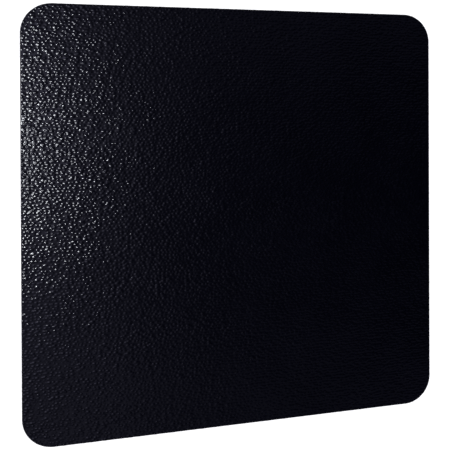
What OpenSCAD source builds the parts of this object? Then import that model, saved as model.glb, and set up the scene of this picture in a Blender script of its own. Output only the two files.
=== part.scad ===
// Square floor protector mat: a flat, rigid board that lies on the floor under a chair or a stove.
// An embossed steel skin covers the face, turns down round the edge and hems under the board.
// A mineral-fibre core fills it, and a galvanised sheet closes the underside.
// The origin is the centre of the footprint, on the floor, and +Z points up out of the embossed face.

/* [Board] */
// Length of each side, over the skin
board_w = 914.4; // [600:0.1:1220]
// Thickness, from the floor to the face
board_t = 12.7; // [8:0.1:25]
// Radius of the four corners, seen from above
corner_r = 63.5; // [40:0.5:120]

/* [Top skin] */
// Thickness of the embossed steel
skin_t = 0.4; // [0.3:0.05:0.8]
// Outside radius of the shoulder bend, between the face and the wall
shoulder_r = 2.5; // [1.5:0.1:3.5]
// Outside radius of the hem bend, between the wall and the hem
hem_bend_r = 1.5; // [1:0.1:2]
// Reach of the hem under the board, from the outside of the wall
hem_w = 18; // [10:0.5:30]

/* [Inner layers] */
// Thickness of the galvanised base sheet
base_t = 0.3; // [0.2:0.05:0.8]
// Thickness of each adhesive film
bond_t = 0.15; // [0.1:0.05:0.5]
// Room between the inner layers and the bends of the skin
edge_gap = 0.5; // [0.2:0.1:3]

/* [Hidden] */

// Length of the straight stretch of each side, between the corners
flat_w = board_w - 2 * corner_r;
// Inset of the inner layers' edges from the outside of the board
layer_inset = max(shoulder_r, hem_bend_r) + edge_gap;
// Heights of the undersides of the layers, from the floor up
base_z = skin_t;
bottom_bond_z = base_z + base_t;
core_z = bottom_bond_z + bond_t;
top_bond_z = board_t - skin_t - bond_t;
core_t = top_bond_z - core_z;

// Segments to a full turn of a corner, and of a bend in the sheet
corner_segments = 96;
bend_segments = 48;

// A quarter of a ring as wide as the skin is thick, in the first quadrant: the section of a bend.
module bend_section(outer_r) {
    intersection() {
        difference() {
            circle(outer_r, $fn = bend_segments);
            circle(outer_r - skin_t, $fn = bend_segments);
        }
        square(outer_r);
    }
}

// Section through the skin at an edge. X runs outwards from the corner's axis, and Y is height.
module edge_section() {
    translate([0, board_t - skin_t])
        square([corner_r - shoulder_r, skin_t]);
    translate([corner_r - shoulder_r, board_t - shoulder_r])
        bend_section(shoulder_r);
    translate([corner_r - skin_t, hem_bend_r])
        square([skin_t, board_t - shoulder_r - hem_bend_r]);
    translate([corner_r - hem_bend_r, hem_bend_r])
        mirror([0, 1])
            bend_section(hem_bend_r);
    translate([corner_r - hem_w, 0])
        square([hem_w - hem_bend_r, skin_t]);
}

// One side of the skin and the corner that follows it.
module side_and_corner() {
    translate([flat_w / 2, 0, 0])
        rotate([90, 0, 0])
            linear_extrude(flat_w, center = true)
                edge_section();
    translate([flat_w / 2, flat_w / 2, 0])
        rotate_extrude(angle = 90, $fn = corner_segments)
            edge_section();
}

// A square plate whose corners share the board's corner axes, with its underside at height z.
module inner_layer(z, thickness) {
    layer_w = board_w - 2 * layer_inset;
    translate([0, 0, z])
        linear_extrude(thickness) {
            square([flat_w, layer_w], center = true);
            square([layer_w, flat_w], center = true);
            for (x = [-1, 1], y = [-1, 1])
                translate([x, y] * flat_w / 2)
                    circle(corner_r - layer_inset, $fn = corner_segments);
        }
}

module top_skin() {
    color([0.05, 0.05, 0.06]) {
        translate([0, 0, board_t - skin_t / 2])
            cube([flat_w, flat_w, skin_t], center = true);
        for (turn = [0:90:270])
            rotate(turn)
                side_and_corner();
    }
}

module top_bond() {
    color([0.86, 0.78, 0.56])
        inner_layer(top_bond_z, bond_t);
}

module core_board() {
    color([0.73, 0.70, 0.62])
        inner_layer(core_z, core_t);
}

module bottom_bond() {
    color([0.86, 0.78, 0.56])
        inner_layer(bottom_bond_z, bond_t);
}

module base_sheet() {
    color([0.70, 0.72, 0.74])
        inner_layer(base_z, base_t);
}

top_skin();
top_bond();
core_board();
bottom_bond();
base_sheet();
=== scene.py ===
"""Looks of the square floor protector mat: a black, pebble-embossed steel skin hemmed round a
mineral-fibre core and a galvanised base sheet. Metres, +Z up, in the CAD model's frame."""

import math

import bpy
import numpy as np
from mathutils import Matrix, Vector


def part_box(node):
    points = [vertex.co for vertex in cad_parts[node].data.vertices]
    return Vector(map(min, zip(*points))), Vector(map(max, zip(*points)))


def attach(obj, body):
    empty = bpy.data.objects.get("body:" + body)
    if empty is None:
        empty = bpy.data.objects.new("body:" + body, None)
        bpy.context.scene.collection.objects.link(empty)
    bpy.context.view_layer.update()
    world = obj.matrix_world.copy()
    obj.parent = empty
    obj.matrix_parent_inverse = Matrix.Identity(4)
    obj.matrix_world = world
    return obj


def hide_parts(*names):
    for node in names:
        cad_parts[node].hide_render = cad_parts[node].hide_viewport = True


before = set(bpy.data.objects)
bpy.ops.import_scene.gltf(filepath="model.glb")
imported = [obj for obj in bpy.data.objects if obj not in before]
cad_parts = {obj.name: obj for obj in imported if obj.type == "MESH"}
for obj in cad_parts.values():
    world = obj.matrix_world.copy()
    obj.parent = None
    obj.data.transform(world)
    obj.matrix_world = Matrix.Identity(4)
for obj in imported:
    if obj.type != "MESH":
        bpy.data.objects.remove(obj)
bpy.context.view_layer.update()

MM = 0.001
SEED = 1618

# ---------------------------------------------------------------- sizes of the CAD model
SKIN_LOW, SKIN_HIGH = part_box("top_skin")
BASE_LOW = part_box("base_sheet")[0]
CORE_LOW, CORE_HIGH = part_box("core_board")

BOARD_W = SKIN_HIGH.x - SKIN_LOW.x
BOARD_T = SKIN_HIGH.z - SKIN_LOW.z
SKIN_T = BASE_LOW.z - SKIN_LOW.z      # the base sheet lies on the hem, so its underside is one sheet up
CORNER_R = 63.5 * MM
SHOULDER_R = 2.5 * MM                 # outside radius of the bend between face and wall
HEM_BEND_R = 1.5 * MM                 # outside radius of the bend between wall and hem
HEM_W = 18 * MM                       # how far the hem reaches in under the board
LAYER_R = CORNER_R - (BOARD_W - (CORE_HIGH.x - CORE_LOW.x)) / 2    # corner radius of the inner layers

# ---------------------------------------------------------------- sizes of the detail
FACE_STEP = 1.2 * MM                  # spacing of the skin's vertices
CORE_STEP = 4.5 * MM
BASE_STEP = 6 * MM
SHOULDER_STEPS = 5                    # rings of vertices along each stretch of the skin's edge
WALL_STEPS = 6
HEM_BEND_STEPS = 4
HEM_STEPS = 11
INSIDE_STEPS = 3                      # the same for each bend on the inside of the skin
SOFT_EDGE_STEPS = 2                   # the same for each softened edge of an inner layer

# Emboss of the skin
PEBBLE_X = 8.2 * MM                   # pitch of the pebbles along X and Y
PEBBLE_Y = 6.2 * MM
PEBBLE_H = 0.55 * MM                  # ground to crown
PLANE = 0.4                           # where the CAD model's face lies between ground, 0, and crown, 1
PEBBLE_WANDER = 0.31                  # how far a crown strays from its even place, in pitches
ROW_SHIFT = 0.12                      # how far a whole row strays along X, in pitches
SLIMNESS = 0.62                       # how steep a dome is along X, relative to its steepness along Y
GROUND = 0.125                        # where a dome meets the flat ground, in squared pitches from its crown
SINK = 0.047                          # the most that a crown is raised or sunk, in the same unit
STEEPNESS = 0.5                       # spread of the domes' steepness, as a natural logarithm
STEEPNESS_RANGE = (-0.8, 2.4)         # least and most of it, in spreads
BLEND = 33.0                          # sharpness of the change from dome to ground
SWELL_PITCH = 26 * MM                 # slow unevenness under the pebbles
SWELL_H = 0.03 * MM
PATCH_PITCH = 60 * MM                 # slow change in how deep the emboss is
PATCH_DEPTH = 0.08                    # its spread, relative to the depth
FIELD_STEP = 3.0 * MM                 # spacing of the values in a noise field
SHEET_MARGIN = 20 * MM                # how much wider than the unrolled sheet the emboss is made

# Edge and hem of the skin
SHOULDER_LOSS = 0.6                   # share of the emboss that is lost past the shoulder
SHOULDER_FADE = 2 * MM                # length of sheet over which it is lost
HEM_LOSS = 0.65                       # share of the rest that is lost in the hem
HEM_DENT = 0.2                        # how far the hem is pressed in, in pebble heights
GATHER_H = 0.1 * MM                   # depth of the hem's gathers
GATHERS = 36                          # how many of them would fill a full turn
WEAR_BAND = 2.2 * MM                  # half width of the rubbed band on the shoulder

# Core board
CORE_EDGE_R = 0.6 * MM
CORE_FIELD_STEP = 2 * MM
FIBRE_X = 14 * MM                     # pitch of the fibres' dents along X and Y
FIBRE_Y = 9 * MM
FIBRE_H = 0.12 * MM
PIT_X = 22 * MM                       # pitch of the pits along X and Y
PIT_Y = 18 * MM
PIT_H = 0.5 * MM
PIT_LEVEL = 1.3                       # how rare a pit is, in deviations of its noise
UNDERSIDE_SHIFT = 0.13                # metres between the patterns of the core's two faces
SAWN_STRETCH = 3                      # how much faster the dents change down the edge than across a face
SAWN_DEPTH = 0.6                      # how deep they are there, relative to the face's

# Base sheet
BASE_EDGE_R = 0.1 * MM
BULGE_PITCH = 90 * MM
BULGE_H = 0.2 * MM                    # the most that its underside rises
LAYER_MARGIN = 100 * MM               # how much wider than the board a layer's noise field is

# Relief too fine for the meshes, given to the materials' bump
PEEL_H = 0.08 * MM                    # orange peel of the enamel
FEATHER_H = 0.05 * MM                 # feathering of the zinc
MAT_H = 0.25 * MM                     # matted fibres of the core
STRAND_H = 0.08 * MM                  # strands of the adhesive
BOND_TURN = 1.1                       # radians between the patterns of the two adhesive films


# ---------------------------------------------------------------- mesh helpers
def plate_lines(half, corner_r, step):
    """Coordinates of the grid lines across a plate: fine cells in both corner bands, and between them."""
    band = max(2, math.ceil(corner_r / step))
    middle = max(2, math.ceil(2 * (half - corner_r) / step))
    edge = half - corner_r
    return np.concatenate([
        np.linspace(-half, -edge, band, endpoint=False),
        np.linspace(-edge, edge, middle, endpoint=False),
        np.linspace(edge, half, band + 1),
    ])


def plate_grid(half, corner_r, step):
    """Points (n, n, 2) of a square grid whose four corner squares are bent into quarter discs."""
    lines = plate_lines(half, corner_r, step)
    x, y = np.meshgrid(lines, lines, indexing="ij")
    edge = half - corner_r
    p = np.clip((np.abs(x) - edge) / corner_r, 0, None)
    q = np.clip((np.abs(y) - edge) / corner_r, 0, None)
    in_corner = (p > 0) & (q > 0)
    bent_x = np.sign(x) * (edge + corner_r * p * np.sqrt(1 - q * q / 2))
    bent_y = np.sign(y) * (edge + corner_r * q * np.sqrt(1 - p * p / 2))
    return np.stack([np.where(in_corner, bent_x, x), np.where(in_corner, bent_y, y)], axis=-1)


def grid_rim(n):
    """Indices into a flattened n by n grid of its rim, anticlockwise seen from above."""
    index = np.arange(n * n).reshape(n, n)
    return np.concatenate([index[:-1, 0], index[-1, :-1], index[:0:-1, -1], index[0, :0:-1]])


def outward(points, half, corner_r):
    """Unit vectors out of a rounded square at points on its rim."""
    edge = half - corner_r
    away = points - np.clip(points, -edge, edge)
    return away / np.linalg.norm(away, axis=1, keepdims=True)


def grid_faces(n, first=0, flip=False):
    """Quads of an n by n grid whose vertices start at first, facing up, or down if flip."""
    index = first + np.arange(n * n).reshape(n, n)
    quads = np.stack([index[:-1, :-1], index[1:, :-1], index[1:, 1:], index[:-1, 1:]], axis=-1)
    quads = quads.reshape(-1, 4)
    return quads[:, ::-1] if flip else quads


def band_faces(upper, lower):
    """Quads between two closed loops of vertex indices, facing out when lower is below or outside."""
    return np.stack([upper, lower, np.roll(lower, -1), np.roll(upper, -1)], axis=-1)


def mesh_object(name, points, quads, cap=None):
    """A smooth-shaded object from points, quads and an optional many-sided cap."""
    loops = quads.reshape(-1)
    starts = np.arange(len(quads)) * 4
    if cap is not None:
        starts = np.append(starts, len(loops))
        loops = np.concatenate([loops, cap])
    mesh = bpy.data.meshes.new(name)
    mesh.vertices.add(len(points))
    mesh.vertices.foreach_set("co", points.astype(np.float32).reshape(-1))
    mesh.loops.add(len(loops))
    mesh.loops.foreach_set("vertex_index", loops.astype(np.int32))
    mesh.polygons.add(len(starts))
    mesh.polygons.foreach_set("loop_start", starts.astype(np.int32))
    mesh.polygons.foreach_set("use_smooth", np.ones(len(starts), bool))
    mesh.update(calc_edges=True)
    mesh.validate()
    obj = bpy.data.objects.new(name, mesh)
    bpy.context.scene.collection.objects.link(obj)
    return obj


def add_values(obj, name, values):
    """Stores one number per vertex for the material to read."""
    layer = obj.data.attributes.new(name, "FLOAT", "POINT")
    layer.data.foreach_set("value", values.astype(np.float32))


# ---------------------------------------------------------------- noise fields
def filtered_noise(rng, size, step, pitch_x, pitch_y, weight):
    """A square of random values with mean 0 and deviation 1. weight says how much is kept of each wave,
    from its frequency in waves per pitch."""
    n = int(math.ceil(size / step))
    k = np.fft.fftfreq(n, step)
    keep = weight(np.hypot(k[:, None] * pitch_x, k[None, :] * pitch_y))
    waves = np.fft.ifft2(np.fft.fft2(rng.standard_normal((n, n))) * keep).real
    return (waves - waves.mean()) / waves.std()


def noise_field(rng, size, step, pitch_x, pitch_y, width=0.35):
    """A square of smooth random waves of about one pitch."""
    return filtered_noise(rng, size, step, pitch_x, pitch_y, lambda f: np.exp(-((f - 1) / width) ** 2))


def smooth_field(rng, size, step, pitch):
    """A square of slow random change with no wave shorter than about the pitch."""
    return filtered_noise(rng, size, step, pitch, pitch, lambda f: np.exp(-f ** 2))


def sample(field, size, points):
    """Values of a field, centred on the origin, at points, by interpolation between its cells."""
    n = len(field)
    at = (points + size / 2) / size * n
    low = np.floor(at).astype(int)
    part = at - low
    part = part * part * (3 - 2 * part)
    i, j = low[:, 0] % n, low[:, 1] % n
    i1, j1 = (i + 1) % n, (j + 1) % n
    fx, fy = part[:, 0], part[:, 1]
    return (field[i, j] * (1 - fx) * (1 - fy) + field[i1, j] * fx * (1 - fy)
            + field[i, j1] * (1 - fx) * fy + field[i1, j1] * fx * fy)


class Emboss:
    """A field of domed pebbles in rows on nearly flat ground, each out of place and of its own height and
    steepness."""

    def __init__(self, rng, size):
        self.size = size
        shape = (math.ceil(size / PEBBLE_X) + 1, 2 * math.ceil(size / PEBBLE_Y / 2) + 2)
        self.stagger = 0.5 * (np.arange(shape[1]) % 2) + rng.uniform(-ROW_SHIFT, ROW_SHIFT, shape[1])
        self.wander = rng.uniform(-PEBBLE_WANDER, PEBBLE_WANDER, shape + (2,))
        self.steepness = np.exp(STEEPNESS * np.clip(rng.standard_normal(shape), *STEEPNESS_RANGE))
        self.sink = rng.uniform(-SINK, SINK, shape)
        self.swell = noise_field(rng, size, FIELD_STEP, SWELL_PITCH, SWELL_PITCH)
        self.patches = smooth_field(rng, size, FIELD_STEP, PATCH_PITCH)

    def pebbles(self, points):
        """Heights at points (n, 2) of the unrolled sheet: about 0 on the ground and 1 on the crowns."""
        u, v = points[:, 0] / PEBBLE_X, points[:, 1] / PEBBLE_Y
        columns, rows = self.steepness.shape
        total = np.full(len(points), math.exp(-BLEND * GROUND))
        for row_step in (-1, 0, 1):
            row = np.round(v).astype(int) + row_step
            stagger = self.stagger[row % rows]
            for column_step in (-1, 0, 1):
                column = np.round(u - stagger).astype(int) + column_step
                which = (column % columns, row % rows)
                across = u - column - stagger - self.wander[which][:, 0]
                along = v - row - self.wander[which][:, 1]
                fall = (SLIMNESS * across ** 2 + along ** 2) * self.steepness[which] + self.sink[which]
                total += np.exp(-BLEND * fall)
        return 1 + np.log(total) / BLEND / GROUND

    def lift(self, points):
        """Displacement of the sheet at points, in metres, and the pebbles' own height from 0 to 1."""
        height = self.pebbles(points)
        depth = PEBBLE_H * (1 + PATCH_DEPTH * np.clip(sample(self.patches, self.size, points), -2, 2))
        return depth * (height - PLANE) + SWELL_H * sample(self.swell, self.size, points), height


# ---------------------------------------------------------------- the skin
def bend_angles(steps):
    """Angles along a right-angle bend after its start, in radians."""
    return np.radians(np.linspace(0, 90, steps + 1))[1:]


def parts(steps):
    """Even parts of a stretch after its start, up to 1."""
    return np.linspace(0, 1, steps + 1)[1:]


def skin_section():
    """The section of the skin's edge from the rim of the flat face outwards, round and in under the
    board, as rows of (offset from that rim, height, normal out, normal up, length along the sheet)."""
    rows = []
    length = 0.0
    top, wall = BOARD_T, SHOULDER_R
    for angle in bend_angles(SHOULDER_STEPS):
        rows.append((SHOULDER_R * math.sin(angle), top - SHOULDER_R * (1 - math.cos(angle)),
                     math.sin(angle), math.cos(angle), length + SHOULDER_R * angle))
    length += SHOULDER_R * math.pi / 2
    drop = BOARD_T - SHOULDER_R - HEM_BEND_R
    for part in parts(WALL_STEPS):
        rows.append((wall, top - SHOULDER_R - drop * part, 1.0, 0.0, length + drop * part))
    length += drop
    for angle in bend_angles(HEM_BEND_STEPS):
        rows.append((wall - HEM_BEND_R * (1 - math.cos(angle)), HEM_BEND_R * (1 - math.sin(angle)),
                     math.cos(angle), -math.sin(angle), length + HEM_BEND_R * angle))
    length += HEM_BEND_R * math.pi / 2
    reach = HEM_W - HEM_BEND_R
    for part in parts(HEM_STEPS):
        rows.append((wall - HEM_BEND_R - reach * part, 0.0, 0.0, -1.0, length + reach * part))
    return np.array(rows)


def skin_inside():
    """The inside of the same section, from the hem's inner edge back to the rim of the face: rows of
    (offset, height)."""
    angles = [0.0, *bend_angles(INSIDE_STEPS)]
    rows = [(SHOULDER_R - HEM_W, SKIN_T)]
    inner = HEM_BEND_R - SKIN_T
    for angle in angles:
        rows.append((SHOULDER_R - HEM_BEND_R + inner * math.sin(angle),
                     HEM_BEND_R - inner * math.cos(angle)))
    inner = SHOULDER_R - SKIN_T
    for angle in angles:
        rows.append((inner * math.cos(angle), BOARD_T - SHOULDER_R + inner * math.sin(angle)))
    return np.array(rows)


def make_skin():
    """The embossed steel sheet: one closed shell, with the emboss carried round the edge."""
    rng = np.random.default_rng(SEED)
    half, radius = BOARD_W / 2 - SHOULDER_R, CORNER_R - SHOULDER_R
    flat = plate_grid(half, radius, FACE_STEP)
    n = len(flat)
    flat = flat.reshape(-1, 2)
    rim = grid_rim(n)
    base, out = flat[rim], outward(flat[rim], half, radius)

    section = skin_section()
    unrolled = 2 * (half + section[-1, 4]) + SHEET_MARGIN
    emboss = Emboss(rng, unrolled)

    # Outside: the face, then one ring of vertices for each row of the section.
    lift, height = emboss.lift(flat)
    points = [np.column_stack([flat, BOARD_T + lift])]
    heights = [height]
    edges = [np.zeros(len(flat))]
    hem_start = section[-1, 4] - (HEM_W - HEM_BEND_R)
    hem_bend = HEM_BEND_R * math.pi / 2
    turn = np.arctan2(out[:, 1], out[:, 0])
    corner = np.minimum(np.abs(out[:, 0]), np.abs(out[:, 1])) * math.sqrt(2)
    gathers = GATHER_H * corner * (1 + np.cos(GATHERS * turn)) / 2
    for offset, z, normal_out, normal_up, length in section:
        lift, height = emboss.lift(base + out * length)
        # Bending the edge flattens the emboss there.
        lift = lift * (1 - SHOULDER_LOSS * min(1.0, length / SHOULDER_FADE))
        # The rollers that make the hem press it nearly flat, so from the bend on it only has shallow dents.
        hem = min(1.0, max(0.0, (length - hem_start) / hem_bend + 1))
        lift = lift * (1 - HEM_LOSS * hem) - HEM_DENT * PEBBLE_H * hem
        # Gathers in the hem at the corners, where the sheet has to shrink.
        inward = max(0.0, (length - hem_start) / (HEM_W - HEM_BEND_R))
        lift = lift - inward * gathers
        ring = np.column_stack([base + out * (offset + normal_out * lift)[:, None],
                                z + normal_up * lift])
        points.append(ring)
        heights.append(height)
        bend = max(0.0, 1 - abs(length - SHOULDER_R * math.pi / 4) / WEAR_BAND)
        edges.append(np.full(len(rim), bend))
    # Inside: smooth, so it counts as neither ground nor crown.
    inside = skin_inside()
    for offset, z in inside:
        points.append(np.column_stack([base + out * offset, np.full(len(rim), z)]))
        heights.append(np.full(len(rim), 0.5))
        edges.append(np.zeros(len(rim)))

    # Faces: the grid, the rings one after another, and one flat cap on the inside of the face.
    loops = [rim] + [n * n + len(rim) * i + np.arange(len(rim)) for i in range(len(section) + len(inside))]
    quads = [grid_faces(n)] + [band_faces(a, b) for a, b in zip(loops, loops[1:])]
    obj = mesh_object("embossed_skin", np.concatenate(points), np.concatenate(quads), cap=loops[-1][::-1])
    add_values(obj, "emboss", np.concatenate(heights))
    add_values(obj, "edge", np.concatenate(edges))
    return obj


# ---------------------------------------------------------------- the inner layers
def make_layer(name, node, step, edge_r, top_dent, bottom_dent):
    """A plate in a CAD layer's place, with edges softened to the radius edge_r. top_dent and bottom_dent
    give how far each face is dented, in metres, at an array of points."""
    low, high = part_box(node)
    half, radius = (high.x - low.x) / 2 - edge_r, LAYER_R - edge_r
    flat = plate_grid(half, radius, step)
    n = len(flat)
    flat = flat.reshape(-1, 2)
    rim = grid_rim(n)
    base, out = flat[rim], outward(flat[rim], half, radius)
    points = [np.column_stack([flat, high.z - top_dent(flat)])]
    angles = bend_angles(SOFT_EDGE_STEPS)
    drop = high.z - low.z - 2 * edge_r
    rows = [(edge_r * math.sin(a), high.z - edge_r * (1 - math.cos(a))) for a in angles]
    rows += [(edge_r, high.z - edge_r - drop * part) for part in parts(max(1, round(drop / step)))]
    rows += [(edge_r * math.cos(a), low.z + edge_r * (1 - math.sin(a))) for a in angles[:-1]]
    for offset, z in rows:
        dent = top_dent(base + SAWN_STRETCH * out * (high.z - z)) * SAWN_DEPTH
        points.append(np.column_stack([base + out * (offset - dent)[:, None], np.full(len(rim), z)]))
    points.append(np.column_stack([flat, low.z + bottom_dent(flat)]))
    loops = [rim] + [n * n + len(rim) * i + np.arange(len(rim)) for i in range(len(rows))]
    second = n * n + len(rim) * len(rows)
    loops.append(second + rim)
    quads = [grid_faces(n)] + [band_faces(a, b) for a, b in zip(loops, loops[1:])]
    quads.append(grid_faces(n, second, flip=True))
    return mesh_object(name, np.concatenate(points), np.concatenate(quads))


def make_core():
    """The mineral-fibre board: pitted faces and a sawn edge."""
    rng = np.random.default_rng(SEED + 1)
    size = BOARD_W + LAYER_MARGIN
    fibres = noise_field(rng, size, CORE_FIELD_STEP, FIBRE_X, FIBRE_Y)
    pits = noise_field(rng, size, CORE_FIELD_STEP, PIT_X, PIT_Y)
    dents = FIBRE_H * (fibres - fibres.min()) / np.ptp(fibres) + PIT_H * np.clip(pits - PIT_LEVEL, 0, 1)

    def top(points):
        return sample(dents, size, points)

    def bottom(points):
        return sample(dents, size, points[:, ::-1] + UNDERSIDE_SHIFT)

    return make_layer("fibre_core", "core_board", CORE_STEP, CORE_EDGE_R, top, bottom)


def make_base():
    """The galvanised sheet that closes the underside: slightly bulged wherever the hem leaves it free."""
    rng = np.random.default_rng(SEED + 2)
    size = BOARD_W + LAYER_MARGIN
    waves = smooth_field(rng, size, FIELD_STEP, BULGE_PITCH)
    free, hem_r = BOARD_W / 2 - HEM_W, CORNER_R - HEM_W

    def top(points):
        return np.zeros(len(points))

    def bottom(points):
        away = np.clip(np.abs(points) - (free - hem_r), 0, None)
        inside = np.clip(1 - np.hypot(away[:, 0], away[:, 1]) / hem_r, 0, 1)
        return BULGE_H * np.clip(sample(waves, size, points), -1, 1) * inside * inside * (3 - 2 * inside)

    return make_layer("spangled_base", "base_sheet", BASE_STEP, BASE_EDGE_R, top, bottom)


# ---------------------------------------------------------------- materials
class Nodes:
    """Short ways to add nodes to a material's or a world's tree."""

    def __init__(self, owner, place):
        owner.use_nodes = True
        self.owner = owner
        self.tree = owner.node_tree
        self.place = self.add("ShaderNodeTexCoord").outputs[place]

    def add(self, kind, links=None, **settings):
        node = self.tree.nodes.new(kind)
        for key, value in settings.items():
            setattr(node, key, value)
        for key, value in (links or {}).items():
            if isinstance(value, bpy.types.NodeSocket):
                self.tree.links.new(value, node.inputs[key])
            else:
                node.inputs[key].default_value = value
        return node

    def noise(self, scale, detail=3.0, rough=0.5, at=None):
        links = {"Vector": at or self.place, "Scale": scale, "Detail": detail, "Roughness": rough}
        return self.add("ShaderNodeTexNoise", links).outputs["Fac"]

    def attribute(self, name):
        return self.add("ShaderNodeAttribute", attribute_name=name).outputs["Fac"]

    def math(self, operation, a, b=0.0):
        return self.add("ShaderNodeMath", {0: a, 1: b}, operation=operation).outputs[0]

    def spread(self, value, low, high, to_low=0.0, to_high=1.0, smooth=False):
        links = {"Value": value, "From Min": low, "From Max": high, "To Min": to_low, "To Max": to_high}
        kind = "SMOOTHSTEP" if smooth else "LINEAR"
        return self.add("ShaderNodeMapRange", links, interpolation_type=kind).outputs["Result"]

    def mix(self, factor, a, b):
        node = self.add("ShaderNodeMix", data_type="RGBA")
        for key, value in ((0, factor), (6, a), (7, b)):
            if isinstance(value, bpy.types.NodeSocket):
                self.tree.links.new(value, node.inputs[key])
            else:
                node.inputs[key].default_value = value
        return node.outputs[2]

    def bump(self, height, distance, strength=1.0, normal=None):
        links = {"Height": height, "Distance": distance, "Strength": strength}
        if normal is not None:
            links["Normal"] = normal
        return self.add("ShaderNodeBump", links).outputs["Normal"]

    def exponent(self, value, rate, peak):
        """peak at value 1, falling by a factor e for each 1 / rate below it."""
        power = self.math("MULTIPLY", self.math("SUBTRACT", value, 1.0), rate)
        return self.math("MULTIPLY", self.math("EXPONENT", power), peak)


class Material(Nodes):
    """A material with one Principled shader."""

    def __init__(self, name, **values):
        super().__init__(bpy.data.materials.new(name), "Object")
        self.shader = self.tree.nodes["Principled BSDF"]
        for key, value in values.items():
            self.shader.inputs[key.replace("_", " ")].default_value = value

    def finish(self, **sockets):
        for key, socket in sockets.items():
            self.tree.links.new(socket, self.shader.inputs[key.replace("_", " ")])
        return self.owner


def enamel():
    """Gloss black enamel: faint dust on the ground between the pebbles, fine orange peel, and a rubbed
    shoulder."""
    m = Material("black_enamel", IOR=1.5, Metallic=0.0)
    emboss, edge = m.attribute("emboss"), m.attribute("edge")
    ground = m.spread(emboss, 0.35, 0.05)
    cloud = m.noise(9.0, 4.0)
    dust = m.math("MULTIPLY", ground, m.spread(cloud, 0.45, 0.75))
    speck = m.spread(m.noise(900.0, 2.0), 0.68, 0.8)
    worn = m.math("MULTIPLY", edge, m.spread(m.noise(140.0, 5.0, 0.7), 0.52, 0.68))
    colour = m.mix(m.spread(cloud, 0.35, 0.65), (0.0008, 0.0011, 0.0040, 1), (0.0014, 0.0017, 0.0052, 1))
    colour = m.mix(m.math("MULTIPLY", dust, 0.08), colour, (0.012, 0.012, 0.013, 1))
    colour = m.mix(m.math("MULTIPLY", speck, 0.2), colour, (0.03, 0.03, 0.032, 1))
    colour = m.mix(m.math("MULTIPLY", worn, 0.6), colour, (0.02, 0.02, 0.021, 1))
    rough = m.spread(m.noise(35.0, 4.0), 0.3, 0.7, 0.08, 0.13)
    rough = m.math("ADD", rough, m.math("MULTIPLY", dust, 0.03))
    rough = m.math("ADD", rough, m.math("MULTIPLY", worn, 0.2))
    peel = m.bump(m.noise(600.0, 2.0), PEEL_H, 0.6)
    return m.finish(Base_Color=colour, Roughness=rough, Normal=peel)


def galvanised():
    """Galvanised steel: crystal spangles with their own tone and shine, each feathered in its own
    direction, and a little white bloom."""
    m = Material("galvanised_steel", Metallic=1.0)
    shift = m.add("ShaderNodeTexNoise", {"Vector": m.place, "Scale": 90.0, "Detail": 3.0})
    scaled = m.add("ShaderNodeVectorMath", {0: shift.outputs["Color"], "Scale": 0.006}, operation="SCALE")
    warped = m.add("ShaderNodeVectorMath", {0: m.place, 1: scaled.outputs[0]}, operation="ADD").outputs[0]
    cells = m.add("ShaderNodeTexVoronoi", {"Vector": warped, "Scale": 95.0})
    tone = m.add("ShaderNodeSeparateColor", {0: cells.outputs["Color"]})
    turn = m.math("MULTIPLY", tone.outputs[2], math.tau)
    turned = m.add("ShaderNodeVectorRotate", {"Vector": m.place, "Angle": turn}, rotation_type="Z_AXIS")
    stretched = m.add("ShaderNodeMapping", {"Vector": turned.outputs[0], "Scale": (1.0, 9.0, 1.0)})
    feather = m.noise(120.0, 4.0, 0.6, stretched.outputs[0])
    bloom = m.spread(m.noise(7.0, 5.0, 0.65), 0.55, 0.75)
    colour = m.mix(tone.outputs[0], (0.47, 0.49, 0.51, 1), (0.60, 0.62, 0.64, 1))
    colour = m.mix(m.spread(feather, 0.35, 0.7, 0.0, 0.5), colour, (0.70, 0.72, 0.73, 1))
    colour = m.mix(m.math("MULTIPLY", bloom, 0.35), colour, (0.58, 0.58, 0.57, 1))
    rough = m.spread(tone.outputs[1], 0.0, 1.0, 0.26, 0.44)
    rough = m.math("ADD", rough, m.math("MULTIPLY", feather, 0.1))
    rough = m.math("ADD", rough, m.math("MULTIPLY", bloom, 0.12))
    return m.finish(Base_Color=colour, Roughness=rough, Normal=m.bump(feather, FEATHER_H, 0.6))


def fibre_board():
    """Mineral-fibre board: warm grey, matted fibres, pits darkened with painted shade, and a few light
    shives.
    """
    m = Material("mineral_fibre_board", Metallic=0.0)
    stretch = m.add("ShaderNodeMapping", {"Vector": m.place, "Scale": (1.0, 3.0, 1.0)}).outputs[0]
    fibres = m.noise(260.0, 5.0, 0.65, stretch)
    clumps = m.noise(45.0, 4.0)
    pits = m.spread(m.noise(110.0, 3.0), 0.62, 0.72)
    colour = m.mix(fibres, (0.30, 0.27, 0.22, 1), (0.58, 0.54, 0.46, 1))
    colour = m.mix(m.math("MULTIPLY", clumps, 0.4), colour, (0.42, 0.40, 0.36, 1))
    # Painted shade: the pits, which the bump sinks, are darkened towards a near-black brown.
    colour = m.mix(m.math("MULTIPLY", pits, 0.7), colour, (0.14, 0.12, 0.10, 1))
    rough = m.spread(fibres, 0.2, 0.8, 0.8, 0.95)
    height = m.math("SUBTRACT", fibres, m.math("MULTIPLY", pits, 0.8))
    return m.finish(Base_Color=colour, Roughness=rough, Normal=m.bump(height, MAT_H, 0.7))


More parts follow.
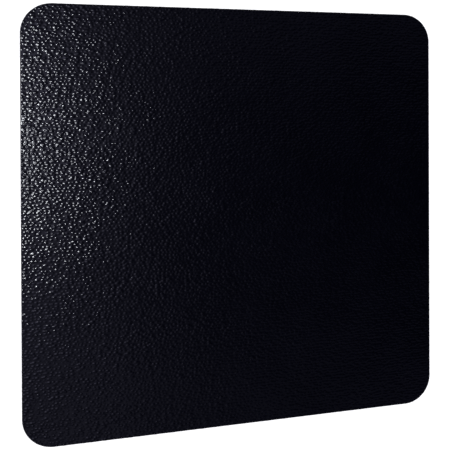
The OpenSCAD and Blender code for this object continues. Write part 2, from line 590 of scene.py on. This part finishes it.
def adhesive(name, turn):
    """Sprayed contact adhesive: amber, with a web of thicker strands, the whole pattern turned by turn
    radians."""
    m = Material(name, Metallic=0.0, IOR=1.48)
    placed = m.add("ShaderNodeMapping", {"Vector": m.place, "Rotation": (0, 0, turn)}).outputs[0]
    web = m.add("ShaderNodeTexVoronoi", {"Vector": placed, "Scale": 130.0}, feature="DISTANCE_TO_EDGE")
    strand = m.spread(web.outputs["Distance"], 0.12, 0.0)
    pools = m.noise(30.0, 4.0, at=placed)
    colour = m.mix(strand, (0.52, 0.38, 0.16, 1), (0.70, 0.58, 0.34, 1))
    colour = m.mix(m.math("MULTIPLY", pools, 0.4), colour, (0.44, 0.30, 0.11, 1))
    rough = m.spread(pools, 0.3, 0.7, 0.3, 0.55)
    return m.finish(Base_Color=colour, Roughness=rough, Normal=m.bump(strand, STRAND_H, 0.8))


def studio_floor():
    """White sweep, lit partly from within so that it stays pale under soft light."""
    m = Material("studio_floor", Metallic=0.0, Roughness=0.9)
    m.shader.inputs["Emission Color"].default_value = (1, 1, 1, 1)
    m.shader.inputs["Emission Strength"].default_value = FLOOR_GLOW
    tint = m.mix(m.noise(2.0), (0.80, 0.80, 0.80, 1), (0.83, 0.83, 0.83, 1))
    return m.finish(Base_Color=tint)


# ---------------------------------------------------------------- studio
FLOOR_SIZE = 30.0
FLOOR_GAP = 0.05 * MM                      # how far the floor lies under the board's lowest CAD point
FLOOR_GLOW = 0.95

LAMP_PLACE = (-1.953, -0.094, 4.0)
LAMP_AIM = (-0.5 * BOARD_W, 0.1, 0.0)
LAMP_SIZE = (0.25, 0.8)                    # about along Y, and about along X
LAMP_POWER = 36.0
LAMP_COLOUR = (0.93, 0.97, 1.0)

# Lobes of the sky: which way they lie, and how sharp and how strong each is
SOFTBOX_TOWARDS = (-0.45, -0.04, 0.89)
SOFTBOX = (34.0, 2.0)
SOFTBOX_SPILL = (5.5, 0.125)               # lies the same way as the softbox
FRONT_TOWARDS = (-0.142, -0.535, 0.832)
FRONT = (75.0, 0.14)
WALL_GLOW = 0.055
REAR_WALL = (0.08, 0.16)                   # where the glow at the back sets in and is full, as a sine
FORE_WALL = (-0.41, -0.48)                 # the same at the front
SKY_TINT = (0.84, 0.82, 1.17, 1)
BACKDROP_TOWARDS = (-0.70, 0.71, 0.0)
BAND_FULL = 0.19                           # the horizon's pale band is full up to here, as a sine
BAND_TOP = (0.36, 0.75)                    # where it ends, beside the backdrop and towards it

# Camera: lens and sensor in millimetres, shift in sensor widths, place in board widths, turn in degrees
LENS = 38.7
SENSOR = 36.0
SHIFT_Y = -0.2556
NEAREST = 0.01                             # metres
CAMERA_PLACE = (-0.2429, 0.2613, 1.1402)
CAMERA_TURN = (-0.14, -10.25, -0.25)


def set_material(obj, material):
    obj.data.materials.clear()
    obj.data.materials.append(material)


def paint_node(name, material):
    """Puts a material in every slot of a CAD node that is shown as it is."""
    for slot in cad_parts[name].material_slots:
        slot.material = material


def make_floor():
    """A large plane just under the board's lowest point."""
    corners = np.array([(-1, -1, 0), (1, -1, 0), (1, 1, 0), (-1, 1, 0)]) * FLOOR_SIZE / 2
    corners[:, 2] = SKIN_LOW.z - FLOOR_GAP
    floor = mesh_object("studio_floor", corners, np.array([[0, 1, 2, 3]]))
    set_material(floor, studio_floor())


def make_lamp():
    """One small hard lamp, whose mirror image in the board falls just past its left edge."""
    light = bpy.data.lights.new("lamp", "AREA")
    light.shape = "RECTANGLE"
    light.size, light.size_y = LAMP_SIZE
    light.energy = LAMP_POWER
    light.color = LAMP_COLOUR
    lamp = bpy.data.objects.new("lamp", light)
    bpy.context.scene.collection.objects.link(lamp)
    lamp.location = LAMP_PLACE
    direction = np.array(LAMP_AIM) - np.array(LAMP_PLACE)
    tilt = math.atan2(math.hypot(direction[0], direction[1]), -direction[2])
    lamp.rotation_euler = (tilt, 0, math.atan2(direction[1], direction[0]) - math.pi / 2)


def make_sky():
    """The studio round the board: dark overhead, with one large soft light high on the left that fades
    out slowly to the right, weak glows at the front and back, and a pale band round the horizon."""
    world = bpy.data.worlds.new("studio_sky")
    bpy.context.scene.world = world
    m = Nodes(world, "Generated")

    def along(towards):
        dot = m.add("ShaderNodeVectorMath", {0: m.place, 1: towards}, operation="DOT_PRODUCT")
        return dot.outputs["Value"]

    to_softbox = along(tuple(np.array(SOFTBOX_TOWARDS) / np.linalg.norm(SOFTBOX_TOWARDS)))
    lobes = [m.exponent(to_softbox, *SOFTBOX), m.exponent(to_softbox, *SOFTBOX_SPILL),
             m.exponent(along(FRONT_TOWARDS), *FRONT)]
    split = m.add("ShaderNodeSeparateXYZ", {0: m.place})
    height, depth = split.outputs["Z"], split.outputs["Y"]
    for start, full in (REAR_WALL, FORE_WALL):
        lobes.append(m.spread(depth, start, full, 0.0, WALL_GLOW, smooth=True))
    total = lobes[0]
    for lobe in lobes[1:]:
        total = m.math("ADD", total, lobe)
    glow = m.mix(total, (0, 0, 0, 1), SKY_TINT)

    rise = m.spread(along(BACKDROP_TOWARDS), 0.0, 1.0, *BAND_TOP)
    above = m.math("DIVIDE", m.math("SUBTRACT", height, BAND_FULL), m.math("SUBTRACT", rise, BAND_FULL))
    band = m.mix(m.spread(above, 0.0, 1.0, 1.0, 0.0, smooth=True), (0, 0, 0, 1), (1, 1, 1, 1))
    both = m.add("ShaderNodeVectorMath", {0: glow, 1: band}, operation="ADD")
    m.tree.links.new(both.outputs[0], m.tree.nodes["Background"].inputs["Color"])


def make_camera():
    """Looks down on the board from above its upper left part, where the photograph was taken."""
    camera = bpy.data.cameras.new("camera")
    camera.sensor_width = SENSOR
    camera.lens = LENS
    camera.shift_y = SHIFT_Y
    camera.clip_start = NEAREST
    obj = bpy.data.objects.new("camera", camera)
    bpy.context.scene.collection.objects.link(obj)
    # The top of the wall makes the outline, so the height is measured from there.
    x, y, height = (part * BOARD_W for part in CAMERA_PLACE)
    obj.location = (x, y, BOARD_T - SHOULDER_R + height)
    obj.rotation_euler = [math.radians(angle) for angle in CAMERA_TURN]
    bpy.context.scene.camera = obj


# ---------------------------------------------------------------- assembly
skin = make_skin()
set_material(skin, enamel())
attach(skin, "root")
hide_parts("top_skin")

core = make_core()
set_material(core, fibre_board())
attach(core, "root")
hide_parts("core_board")

base = make_base()
set_material(base, galvanised())
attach(base, "root")
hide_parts("base_sheet")

paint_node("top_bond", adhesive("top_adhesive", 0.0))
paint_node("bottom_bond", adhesive("bottom_adhesive", BOND_TURN))

make_floor()
make_lamp()
make_sky()
make_camera()
bpy.context.scene.view_settings.view_transform = "Standard"
